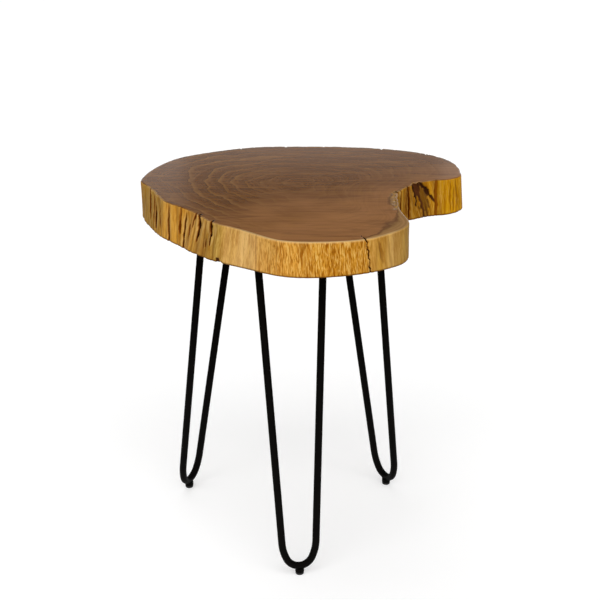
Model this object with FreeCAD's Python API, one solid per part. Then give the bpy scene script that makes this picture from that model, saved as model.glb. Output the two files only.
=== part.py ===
import FreeCAD, Part
import math
import os

# Live edge side table: a slice of tree trunk on three hairpin legs with screw-in levelling feet.
# Millimetres, +Z up. The origin is on the floor, under the middle of the table's plan.

Vector = FreeCAD.Vector
up = Vector(0, 0, 1)

# Slab, a cross-cut slice that keeps the trunk's own edge
slab_width = 528.7
slab_depth = 472.6
slab_thickness = 58.0
rim_ease = 2.5
underside_flare = 18.0

# Top outline, anticlockwise from the front: x and y as shares of half the width and half the depth,
# then the underside's flare at that place, as a multiple of the usual one
outline_shares = [
    (0.119, -1.00, 0.0), (0.268, -0.98, -0.2), (0.387, -0.935, -0.25), (0.501, -0.84, 0.0),
    (0.586, -0.74, 0.1), (0.625, -0.605, 0.0), (0.601, -0.475, 0.0), (0.581, -0.34, 0.0),
    (0.579, -0.18, 0.0), (0.584, -0.05, 0.0), (0.616, 0.03, 0.0), (0.695, 0.135, 0.5),
    (0.775, 0.205, 0.7), (0.864, 0.23, 0.65), (0.94, 0.26, 0.45), (0.985, 0.31, 0.25),
    (0.995, 0.40, 0.17), (0.983, 0.54, 0.2), (0.926, 0.69, 0.3), (0.776, 0.838, 0.45),
    (0.556, 0.935, 0.5), (0.268, 0.99, 0.3), (-0.045, 1.00, 0.2), (-0.348, 0.97, 0.4),
    (-0.586, 0.865, 0.6), (-0.782, 0.735, 0.5), (-0.914, 0.536, 0.2), (-0.989, 0.322, -0.03),
    (-1.00, 0.212, -0.1), (-0.948, 0.09, 0.5), (-0.884, -0.08, 0.6), (-0.824, -0.22, 0.65),
    (-0.715, -0.345, 0.95), (-0.626, -0.46, 1.15), (-0.541, -0.615, 0.75), (-0.427, -0.71, 0.75),
    (-0.278, -0.845, 0.42), (-0.149, -0.96, 0.08),
]

# Hairpin rod, one bar bent double; lengths are on its centre line and angles are in degrees
rod_diameter = 12.0
leg_height = 508.0
nose_radius = 23.0
nose_turn = 63.0
flank_radius = 70.0
rod_splay = 2.92
leg_lean = 7.82

# Where the legs stand, from the middle of the slab. Each leg is set by hand, a little out of true:
# its angle is its place round the circle, and its turn is about its own foot, both in degrees
leg_centre_x = -21.5
leg_centre_y = -14.7
foot_circle_radius = 202.5
front_leg_angle = -85.1
right_leg_angle = 33.0
left_leg_angle = 151.0
front_leg_turn = 6.8
right_leg_turn = 3.0
left_leg_turn = 1.2

# Mounting plate, welded across the two ends of the rod
plate_width = 50.0
plate_thickness = 5.0
plate_end_margin = 12.0
plate_corner_radius = 10.0
rod_line_offset = 6.0

# Screw places as shares of half the plate's width and half its length; plus is away from the table
plate_screw_shares = [(-0.6, -0.78), (-0.6, 0.0), (-0.6, 0.78), (0.6, -0.4), (0.6, 0.4)]

# Pan-head wood screw with a cross slot
screw_diameter = 4.8
screw_length = 36.0
screw_tip_length = 5.0
screw_head_diameter = 9.6
screw_head_height = 3.2
screw_head_round = 2.2
slot_length = 5.2
slot_width = 1.2
slot_depth = 1.6
screw_hole_clearance = 0.3
pilot_clearance = 0.05
pilot_end_gap = 2.0

# Levelling foot: a boss welded under the bend, a stud screwed up into it, and a pad it swivels in
boss_diameter = 14.6
boss_height = 4.2
boss_saddle = 2.0
boss_chamfer = 0.8
foot_gap = 0.4
pad_diameter = 13.8
pad_height = 4.4
pad_edge_round = 2.6
pad_sole = 1.2
stud_diameter = 6.0
stud_reach = 12.0
stud_chamfer = 0.7
stud_head_diameter = 9.0
stud_head_height = 1.4
swivel_clearance = 0.1
thread_clearance = 0.1
bore_end_gap = 1.0

# How far a cutter runs past the face that it opens
cut_overrun = 5.0

# Heights above the floor
bend_underside = pad_height + foot_gap + boss_height
bend_middle = bend_underside + rod_diameter / 2
plate_underside = bend_underside + leg_height
slab_underside = plate_underside + plate_thickness
slab_top = slab_underside + slab_thickness

lean = math.radians(leg_lean)
splay = math.radians(rod_splay)
nose = math.radians(nose_turn)


# Slab

def top_points():
    return [Vector(x * slab_width / 2, y * slab_depth / 2, 0) for x, y, _ in outline_shares]


def outward(points, place):
    """Level direction away from the wood at one point of an anticlockwise outline."""
    along = points[(place + 1) % len(points)] - points[place - 1]
    return Vector(along.y, -along.x, 0).normalize()


def running_lengths(points):
    """Length along the outline up to each point, and once round."""
    lengths = [0]
    for place, point in enumerate(points):
        step = points[(place + 1) % len(points)].distanceToPoint(point)
        lengths.append(lengths[-1] + step)
    return lengths


def slab_section(height, inset):
    """Closed outline at one height, pushed out by the flare there and drawn in at an eased rim."""
    points = top_points()
    flare = underside_flare * (slab_top - height) / slab_thickness
    section = []
    for place, (_, _, flare_share) in enumerate(outline_shares):
        push = outward(points, place) * (flare * flare_share - inset)
        section.append(points[place] + push + up * height)
    curve = Part.BSplineCurve()
    curve.interpolate(Points=section, PeriodicFlag=True, Parameters=running_lengths(points))
    return Part.Wire([curve.toShape()])


def make_slab():
    levels = [
        (slab_underside, rim_ease),
        (slab_underside + rim_ease, 0),
        (slab_top - rim_ease, 0),
        (slab_top, rim_ease),
    ]
    return Part.makeLoft([slab_section(height, inset) for height, inset in levels], True, True)


# Turned pieces, each built upwards round Z

def turned(outline):
    """Solid turned about Z from radius and height pairs that start and end on the axis."""
    corners = [Vector(radius, 0, height) for radius, height in outline]
    face = Part.Face(Part.makePolygon(corners + corners[:1]))
    return face.revolve(Vector(0, 0, 0), up, 360)


def rim(shape, radius, height):
    """The circular edges of a turned piece with one radius, at one height."""
    found = []
    for edge in shape.Edges:
        flat = edge.BoundBox.ZLength < radius / 2
        round_edge = flat and isinstance(edge.Curve, Part.Circle)
        if round_edge and math.isclose(edge.Curve.Radius, radius, rel_tol=1e-6):
            if math.isclose(edge.Curve.Center.z, height, rel_tol=1e-6, abs_tol=radius * 1e-6):
                found.append(edge)
    return found


def make_screw():
    """Pan-head screw with its seat at zero, its head below and its tip above."""
    head = screw_head_diameter / 2
    shank = screw_diameter / 2
    screw = turned([
        (0, -screw_head_height),
        (head, -screw_head_height),
        (head, 0),
        (shank, 0),
        (shank, screw_length - screw_tip_length),
        (0, screw_length),
    ])
    screw = screw.makeFillet(screw_head_round, rim(screw, head, -screw_head_height))
    slot_base = -screw_head_height - cut_overrun
    slot_height = cut_overrun + slot_depth
    for long_side, short_side in ((slot_length, slot_width), (slot_width, slot_length)):
        corner = Vector(-long_side / 2, -short_side / 2, slot_base)
        screw = screw.cut(Part.makeBox(long_side, short_side, slot_height, corner))
    return screw


def make_stud():
    """Threaded stud whose flat head is held in the pad, at its true height above the floor."""
    shank = stud_diameter / 2
    head = stud_head_diameter / 2
    head_base = pad_sole + swivel_clearance
    head_top = head_base + stud_head_height
    tip = pad_height + stud_reach
    return turned([
        (0, head_base),
        (head, head_base),
        (head, head_top),
        (shank, head_top),
        (shank, tip - stud_chamfer),
        (shank - stud_chamfer, tip),
        (0, tip),
    ])


def make_pad():
    """Round glide with a closed sole and a pocket in which the stud's head turns."""
    side = pad_diameter / 2
    neck = stud_diameter / 2 + swivel_clearance
    pocket = stud_head_diameter / 2 + swivel_clearance
    pocket_top = pad_sole + stud_head_height + swivel_clearance * 2
    pad = turned([
        (0, 0),
        (side, 0),
        (side, pad_height),
        (neck, pad_height),
        (neck, pocket_top),
        (pocket, pocket_top),
        (pocket, pad_sole),
        (0, pad_sole),
    ])
    return pad.makeFillet(pad_edge_round, rim(pad, side, 0))


def stud_bore():
    """Tapped hole for the stud, from below the boss up into the bend."""
    base = pad_height + foot_gap - cut_overrun
    height = pad_height + stud_reach + bore_end_gap - base
    return Part.makeCylinder(stud_diameter / 2 + thread_clearance, height, Vector(0, 0, base))


# Leg, in its own frame: foot at the origin, X away from the table, Y across the two runs

def leg_point(across, along):
    """Point in the leaning plane of the rod, measured from the bottom of the bend."""
    return Vector(-along * math.sin(lean), across, bend_middle + along * math.cos(lean))


def bend_half():
    """Across and along for the nose's end, the flank's middle and the flank's end."""
    flank_end = math.pi / 2 - splay
    centre_across = (nose_radius - flank_radius) * math.sin(nose)
    centre_along = nose_radius - (nose_radius - flank_radius) * math.cos(nose)
    places = []
    for turn in (nose, (nose + flank_end) / 2, flank_end):
        across = centre_across + flank_radius * math.sin(turn)
        along = centre_along - flank_radius * math.cos(turn)
        places.append((across, along))
    return places


def run_place(height):
    """Across and along where a straight run's centre line reaches a height."""
    end_across, end_along = bend_half()[-1]
    along = (height - bend_middle) / math.cos(lean)
    return end_across + (along - end_along) * math.tan(splay), along


def make_rod():
    """Round bar swept down one run, round the bend and up the other, then trimmed at the plate."""
    nose_end, flank_middle, flank_end = bend_half()
    run_end = run_place(plate_underside + rod_diameter)
    near = [leg_point(*place) for place in (run_end, flank_end, flank_middle, nose_end)]
    far = [leg_point(-across, along) for across, along in (nose_end, flank_middle, flank_end, run_end)]
    path = Part.Wire([
        Part.LineSegment(near[0], near[1]).toShape(),
        Part.Arc(near[1], near[2], near[3]).toShape(),
        Part.Arc(near[3], leg_point(0, 0), far[0]).toShape(),
        Part.Arc(far[0], far[1], far[2]).toShape(),
        Part.LineSegment(far[2], far[3]).toShape(),
    ])
    section = Part.Wire([Part.Circle(near[0], near[1] - near[0], rod_diameter / 2).toShape()])
    rod = path.makePipeShell([section], True, False)
    corner = Vector(-leg_height / 2, -leg_height / 2, plate_underside)
    return rod.cut(Part.makeBox(leg_height, leg_height, rod_diameter * 2, corner))


def make_boss(rod):
    """Round boss whose top is saddled to the bend that it is welded to."""
    base = pad_height + foot_gap
    side = boss_diameter / 2
    boss = turned([(0, base), (side, base), (side, bend_underside + boss_saddle),
                   (0, bend_underside + boss_saddle)])
    boss = boss.makeChamfer(boss_chamfer, rim(boss, side, base))
    return boss.cut(rod)


def plate_frame():
    """Length of the plate across the leg, and where its middle lies along X."""
    across, along = run_place(plate_underside)
    length = (across + plate_end_margin) * 2
    return length, leg_point(across, along).x - rod_line_offset


def screw_places():
    length, middle = plate_frame()
    return [
        Vector(middle + out_share * plate_width / 2, across_share * length / 2, plate_underside)
        for out_share, across_share in plate_screw_shares
    ]


def make_plate():
    length, middle = plate_frame()
    corner = Vector(middle - plate_width / 2, -length / 2, plate_underside)
    plate = Part.makeBox(plate_width, length, plate_thickness, corner)
    upright = [edge for edge in plate.Edges if edge.BoundBox.ZLength > plate_thickness / 2]
    plate = plate.makeFillet(plate_corner_radius, upright)
    hole_radius = screw_diameter / 2 + screw_hole_clearance
    for place in screw_places():
        start = place - up * cut_overrun
        plate = plate.cut(Part.makeCylinder(hole_radius, plate_thickness + cut_overrun * 2, start))
    return plate


def make_screws():
    return [make_screw().translated(place) for place in screw_places()]


def make_pilots():
    """Blind holes in the wood, one for each screw of a leg."""
    radius = screw_diameter / 2 + pilot_clearance
    depth = screw_length + pilot_end_gap
    return [Part.makeCylinder(radius, depth, place) for place in screw_places()]


def leg_pieces():
    """The pieces of one leg by the last part of their names, and the holes it needs in the slab."""
    whole_rod = make_rod()
    bore = stud_bore()
    pieces = {
        "hairpin_rod": whole_rod.cut(bore),
        "mounting_plate": make_plate(),
        "plate_screws": Part.makeCompound(make_screws()),
        "foot_boss": make_boss(whole_rod).cut(bore),
        "levelling_stud": make_stud(),
        "glide_pad": make_pad(),
    }
    return pieces, Part.makeCompound(make_pilots())


def leg_placement(leg_angle, leg_turn):
    angle = math.radians(leg_angle)
    foot = Vector(
        leg_centre_x + foot_circle_radius * math.cos(angle),
        leg_centre_y + foot_circle_radius * math.sin(angle),
        0,
    )
    return FreeCAD.Placement(foot, FreeCAD.Rotation(up, leg_angle + leg_turn))


def placed(shape, placement):
    return shape.transformed(placement.toMatrix(), copy=True)


def build_table():
    """Every piece by name, with the middle of the whole plan over the origin."""
    slab = make_slab()
    pieces, pilots = leg_pieces()
    placements = {
        "front": leg_placement(front_leg_angle, front_leg_turn),
        "right": leg_placement(right_leg_angle, right_leg_turn),
        "left": leg_placement(left_leg_angle, left_leg_turn),
    }
    table = {}
    for leg, placement in placements.items():
        for pilot in pilots.Solids:
            slab = slab.cut(placed(pilot, placement))
        for piece, shape in pieces.items():
            table[leg + "_" + piece] = placed(shape, placement)
    table["live_edge_slab"] = slab
    box = Part.makeCompound(list(table.values())).optimalBoundingBox(False, False)
    shift = Vector(-box.Center.x, -box.Center.y, 0)
    return {name: shape.translated(shift) for name, shape in table.items()}


os.makedirs("parts", exist_ok=True)
for name, shape in build_table().items():
    shape.exportStep(os.path.join("parts", name + ".step"))
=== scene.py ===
import math

import bpy
import numpy as np
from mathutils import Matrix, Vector, kdtree, noise


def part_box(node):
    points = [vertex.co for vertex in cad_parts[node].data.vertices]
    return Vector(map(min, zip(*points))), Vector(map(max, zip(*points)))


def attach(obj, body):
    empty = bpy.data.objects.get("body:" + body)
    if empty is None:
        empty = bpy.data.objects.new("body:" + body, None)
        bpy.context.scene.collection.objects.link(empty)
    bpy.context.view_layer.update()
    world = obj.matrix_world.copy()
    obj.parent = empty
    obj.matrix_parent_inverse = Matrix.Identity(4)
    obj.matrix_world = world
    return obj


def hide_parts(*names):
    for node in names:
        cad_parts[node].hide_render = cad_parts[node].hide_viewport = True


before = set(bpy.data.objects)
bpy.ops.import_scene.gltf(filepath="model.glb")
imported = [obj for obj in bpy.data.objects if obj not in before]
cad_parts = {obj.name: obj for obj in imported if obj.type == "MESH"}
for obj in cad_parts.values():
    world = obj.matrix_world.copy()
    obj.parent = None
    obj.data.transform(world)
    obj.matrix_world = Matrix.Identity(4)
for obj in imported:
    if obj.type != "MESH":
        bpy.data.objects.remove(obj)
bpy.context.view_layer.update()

# Sizes are in millimetres until a mesh is written, which is in metres.
MM = 0.001
LEGS = ("front", "right", "left")

# Slab. Places on its edge are distances round it, anticlockwise from just past the left end, and heights
# above the underside.
SLAB = "live_edge_slab"
SLAB_LOW, SLAB_HIGH = (np.array(corner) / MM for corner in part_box(SLAB))
THICKNESS = SLAB_HIGH[2] - SLAB_LOW[2]
RIM_EASE = 2.5
PITH = np.array([-10.0, 40.0])
PITH_RADIUS = 240.0
EDGE_START = 2.0
COLUMN_STEP = 1.3
FINE_STEP = 0.5
FINE_REACH = 6.0
WALL_STEP = 1.4
RIM_ROWS = 4
FLUTE_WIDTH = 13.0
FLUTE_LENGTH = 140.0
FLUTE_SHARE = 0.9
FURROW_SHARPNESS = 2.2
FULL_FURROW = 2.2
SWELL_WIDTH = 38.0
SWELL_LENGTH = 90.0
SWELL_SHARE = 0.35
TOP_INSETS = (0.8, 1.8, 3.2, 5, 7.5, 10.5, 14, 18, 23, 29, 37, 46)
UNDERSIDE_INSETS = (2, 6, 14, 30)
INNER_SHARES = (0.88, 0.74, 0.6, 0.46, 0.32, 0.2, 0.1)
SQUARE_REACH = 10.0
SETTLE_REACH = 24.0
LEVEL_TOLERANCE = 0.02

# What the edge is like at places round it: shares of tan, olive, gold and umber in its colour, how much
# hair its grain shows, depth of its flutes, how far its grain leans to a millimetre of height, and how
# pale its upper lip is, partly pale sanded wood and partly a painted highlight.
ZONE_NAMES = ("tan", "olive", "gold", "umber", "hair", "flutes", "slant", "pale_lip_and_highlight")
EDGE_ZONES = np.array([
    (0, 0.1, 0.8, 0.0, 0.1, 0.2, 1.2, 0.27, 0.0),
    (20, 0.1, 0.8, 0.0, 0.1, 0.2, 1.4, 0.27, 0.3),
    (60, 0.1, 0.8, 0.0, 0.2, 0.2, 2.0, 0.27, 0.3),
    (85, 0.1, 0.7, 0.0, 0.1, 0.2, 1.8, 0.25, 0.2),
    (105, 0.1, 0.3, 0.0, 0.0, 0.3, 1.6, 0.20, 0.1),
    (145, 0.0, 0.3, 0.0, 0.0, 0.3, 1.6, 0.28, 0.0),
    (158, 0.0, 0.4, 0.0, 0.3, 0.3, 2.0, 0.24, 0.1),
    (175, 0.7, 0.3, 0.0, 0.0, 0.3, 2.4, 0.20, 0.1),
    (185, 0.0, 0.5, 0.0, 0.2, 0.3, 2.4, 0.16, 0.1),
    (204, 0.5, 0.4, 0.0, 0.0, 0.3, 2.4, 0.12, 0.2),
    (222, 0.0, 0.6, 0.0, 0.3, 0.3, 2.0, 0.08, 0.2),
    (235, 0.0, 0.9, 0.0, 0.1, 0.3, 1.3, 0.05, 0.2),
    (243, 0.1, 0.9, 0.0, 0.1, 0.4, 0.8, 0.0, 0.2),
    (255, 0.8, 0.2, 0.0, 0.0, 0.4, 0.6, 0.0, 0.3),
    (270, 0.7, 0.3, 0.0, 0.0, 0.4, 0.5, 0.0, 0.3),
    (285, 1.0, 0.0, 0.0, 0.0, 0.4, 0.5, 0.0, 0.4),
    (312, 0.9, 0.0, 0.0, 0.0, 0.4, 0.4, 0.0, 0.5),
    (320, 0.5, 0.0, 0.0, 0.0, 0.6, 0.5, 0.0, 0.6),
    (360, 0.2, 0.0, 0.0, 0.0, 0.9, 0.5, 0.0, 0.6),
    (425, 0.0, 0.0, 0.0, 0.1, 1.0, 0.6, 0.05, 0.6),
    (470, 0.0, 0.0, 0.0, 0.1, 1.0, 0.6, 0.10, 0.6),
    (492, 0.0, 0.1, 0.0, 0.1, 0.9, 0.6, 0.10, 0.5),
    (503, 0.3, 0.3, 0.0, 0.0, 0.3, 0.6, 0.10, 0.4),
    (521, 0.0, 0.5, 0.1, 0.0, 0.2, 0.6, 0.15, 0.4),
    (540, 0.9, 0.4, 0.0, 0.0, 0.2, 0.7, 0.10, 0.4),
    (561, 0.3, 0.7, 0.0, 0.0, 0.2, 0.7, 0.10, 0.2),
    # In the notch the umber share is partly the wood's dark streaks and partly painted shade of the fold.
    (620, 0.0, 0.9, 0.0, 0.4, 0.2, 0.8, 0.10, 0.1),
    (650, 0.0, 0.8, 0.0, 0.8, 0.2, 1.2, 0.10, 0.0),
    (690, 0.0, 0.5, 0.2, 0.6, 0.2, 1.6, 0.10, 0.0),
    (755, 0.0, 0.3, 0.4, 0.3, 0.2, 1.8, 0.10, 0.0),
    (775, 0.0, 0.2, 0.5, 0.6, 0.2, 1.6, 0.15, 0.0),
    (800, 0.0, 0.1, 0.6, 0.5, 0.3, 1.4, 0.30, 0.0),
    (833, 0.0, 0.0, 1.0, 0.5, 0.2, 0.9, 0.05, 0.0),
    (844, 0.0, 0.0, 1.0, 0.3, 0.2, 0.7, 0.0, 0.0),
    (852, 0.0, 0.0, 1.0, 0.0, 0.2, 0.7, 0.0, 0.0),
    (905, 0.0, 0.1, 0.8, 0.0, 0.3, 1.0, 0.0, 0.0),
    (1010, 0.1, 0.1, 0.1, 0.1, 0.5, 1.8, 0.15, 0.0),
    (1200, 0.4, 0.1, 0.0, 0.0, 0.6, 1.4, 0.10, 0.0),
    (1420, 0.0, 0.4, 0.0, 0.1, 0.4, 1.0, 0.20, 0.0),
    (1560, 0.0, 0.5, 0.0, 0.1, 0.3, 0.6, 0.20, 0.0),
])

# How far the paler sapwood reaches in from the edge on the top, at places round it.
SAPWOOD = np.array([
    (0, 0), (180, 0), (300, 1), (470, 2), (495, 6), (520, 10), (542, 18), (565, 27), (590, 26), (623, 14),
    (648, 5), (668, 6), (682, 14), (711, 12), (735, 6), (770, 2), (900, 0), (1250, 2), (1450, 0),
])

# Splits down the edge: round and height at the upper end, the same at the lower, half width, depth, and
# how much painted shade darkens it inside.
FISSURES = (
    (26, 62, 52, 12, 5.0, 2, 0.6),
    (49, 56, 70, 10, 3.4, 2, 0.55),
    (60, 54, 81, 6, 4.2, 5, 0.95),
    (79, 57, 95, 12, 3.0, 1.5, 0.55),
    (108, 56, 123, -6, 2.6, 5, 0.75),
    (138, 64, 142, 26, 4.0, 1.5, 0.35),
    (140, 40, 145, 17, 4.6, 3, 0.55),
    (152, 54, 160, 12, 2.8, 7, 0.95),
    (156, 24, 166, -8, 3.2, 7, 1.0),
    (166, 40, 170, 20, 2.6, 2, 0.5),
    (174, 62, 176, 34, 2.4, 3, 0.6),
    (178, 66, 190, 48, 3.2, 6, 1.0),
    (189, 58, 194, 35, 5.0, 9, 1.0),
    (194, 48, 194, 18, 3.2, 7, 1.0),
    (212, 26, 213, 13, 1.4, 3, 0.75),
    (216, 31, 217, 16, 1.5, 3, 0.8),
    (220, 62, 225, 36, 4.6, 10, 1.0),
    (225, 46, 224, 20, 2.2, 6, 1.0),
    (312, 66, 317, -8, 1.0, 0.4, 0.3),
    (352, 64, 352, 2, 1.0, 0.3, 0.22),
    (514, 52, 525, 10, 4.0, 1.5, 0.22),
    (737, 64, 739, 44, 2.6, 6, 1.0),
    (748, 62, 751, 12, 2.2, 2, 0.7),
    (765, 58, 766, 6, 1.8, 2, 0.5),
    (772, 70, 771, -4, 2.6, 2.5, 0.7),
    (830, 80, 825, -20, 3.4, 2, 0.4),
    (853, 58, 851, 2, 2.4, 0.8, 0.28),
    (859, 46, 857, 4, 2.0, 0.8, 0.28),
    (864, 60, 865, 8, 2.4, 0.8, 0.28),
    (1006, 40, 1010, 4, 1.8, 3, 0.55),
    (1016, 64, 1023, 14, 2.6, 6, 1.0),
    (1027, 30, 1030, -6, 1.8, 3, 0.65),
    (1096, 66, 1099, 38, 2.2, 5, 0.9),
    (1168, 34, 1174, -6, 2.0, 3, 0.6),
    (1180, 54, 1190, 2, 2.6, 5, 0.95),
    (1197, 66, 1200, 42, 1.8, 3, 0.65),
    (1318, 60, 1321, 34, 2.0, 3, 0.55),
    (1330, 50, 1341, 4, 3.2, 7, 1.0),
    (1341, 66, 1347, 30, 2.2, 5, 0.9),
    (1354, 28, 1358, -6, 1.8, 3, 0.65),
    (1440, 40, 1443, 14, 1.8, 2, 0.5),
    (1478, 66, 1485, 8, 2.6, 6, 1.0),
    (1492, 44, 1495, 18, 1.8, 3, 0.55),
    (1545, 30, 1552, -6, 2.2, 4, 0.8),
)

# Bark grown into the wood, in the same terms, except that the last value is how much of the bark's own
# dark colour shows.
BARK = (
    (786, 84, 792, 36, 10.0, 6, 1.0),
    (783, 64, 788, 20, 3.4, 5, 1.0),
    (791, 58, 799, 12, 3.0, 4, 0.6),
    (796, 42, 803, -8, 3.0, 3, 0.5),
    (803, 50, 816, 12, 2.4, 2, 0.36),
    (806, 34, 809, -6, 2.2, 2, 0.38),
    (798, 66, 806, -8, 11.0, 1.5, 0.32),
    (790, 70, 827, 21, 4.8, 6, 1.0),
    (242, 8, 247, -6, 5.5, 4, 1.0),
    (1262, 66, 1270, 22, 3.4, 5, 1.0),
)

# Splits taper to their ends, and their sides are ragged in cells of one width and height.
SPLIT_TAPER = 0.6
RAGGED_WIDTH = 3.0
RAGGED_HEIGHT = 7.0
SPLIT_RAGGEDNESS = 0.3
BARK_RAGGEDNESS = 0.8

# How far the relief changes the colour of the edge: painted shade in the furrows and along the lower
# rim, a painted highlight on the ridges beside splits, and the heights that the lip, pale partly as a
# painted highlight, and the lower rim's painted shade take up.
FURROW_SHADE = 0.55
RIM_SHADE = 0.9
RIDGE_HIGHLIGHT_SHARE = 0.4
LIP_HEIGHT = 3.5
LIP_FADE = 3.0
LIP_REACH = 1.5
RIM_SHADE_START = 1.0
RIM_SHADE_FADE = 3.5

# The long crack, down the edge and in across the top.
CRACK_HEIGHTS = (0, 30, 58)
CRACK_ROUNDS = (501, 496.5, 490)
CRACK_HALF_WIDTH = 1.4
CRACK_DEPTH = 9.0
CRACK_TOP_LENGTH = 18.0
CRACK_TOP_DEPTH = 4.0

# The chipped stretch of the top's rim, in the notch.
CHIPS_ROUND = (655, 745)
CHIPS_REACH = 11.0
CHIP_SIZE = 5.0
CHIP_DEPTH = 0.9

# Hairpin rod, on its centre line, and its welds
ROD_RADIUS = 6.0
NOSE_RADIUS = 23.0
NOSE_TURN = math.radians(63.0)
FLANK_RADIUS = 70.0
ROD_SPLAY = math.radians(2.92)
ROD_SIDES = 40
BEND_STEP = math.radians(4)
WELD_RADIUS = 2.1
WELD_SQUASH = 0.9
WELD_RIPPLES = 15
WELD_RIPPLE = 0.3
WELD_RIPPLE_STEPS = 6
WELD_SIDES = 12
WELD_TO_PLATE = 0.02

# Levelling stud
STUD_RADIUS = 3.0
STUD_HEAD_RADIUS = 4.5
STUD_HEAD_HEIGHT = 1.4
STUD_CHAMFER = 0.7
STUD_END_RADIUS = 0.6
THREAD_PITCH = 1.0
THREAD_DEPTH = 0.6
THREAD_STEEPNESS = 1.25
THREAD_ROWS = 8
STUD_SIDES = 32

# Camera, whose focal length is in pixels of the picture
CAMERA_PLACE = (-4.5, -2953.1, 1598.5)
CAMERA_PITCH = 0.3885
PICTURE_SIDE = 600
FOCAL_LENGTH = 1936.8
CAMERA_FIELD = 2 * math.atan(PICTURE_SIDE / 2 / FOCAL_LENGTH)

# Studio. The sweep's rise and fade are sines of the angle above the horizon. Lamps are placed and aimed in
# metres.
FLOOR_SIZE = 30000.0
FLOOR_LIFT = 0.5
SWEEP_RISE = 0.07
SWEEP_FADE = 0.03
ROOM_LIGHT = 0.04
TABLE = (0, 0, 0.5)


# Nodes and colours

def linear(hex_colour):
    """Linear colour from an sRGB hex value."""
    channels = [int(hex_colour[place:place + 2], 16) / 255 for place in (1, 3, 5)]
    return [c / 12.92 if c <= 0.04045 else ((c + 0.055) / 1.055) ** 2.4 for c in channels] + [1]


def per(size):
    """Texture scale, in repeats to the metre, of a pattern of one size in millimetres."""
    return 1 / (size * MM)


def add(tree, kind, inputs=None, **settings):
    """One node with its settings. An input is a constant, a socket, or a node for its first output."""
    node = tree.nodes.new("ShaderNode" + kind)
    for name, value in settings.items():
        setattr(node, name, value)
    for name, value in (inputs or {}).items():
        if isinstance(value, bpy.types.Node):
            value = value.outputs[0]
        if isinstance(value, bpy.types.NodeSocket):
            tree.links.new(value, node.inputs[name])
        else:
            node.inputs[name].default_value = value
    return node


def new_material(name):
    material = bpy.data.materials.new(name)
    material.use_nodes = True
    material.node_tree.nodes.clear()
    return material, material.node_tree


# Materials

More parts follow.
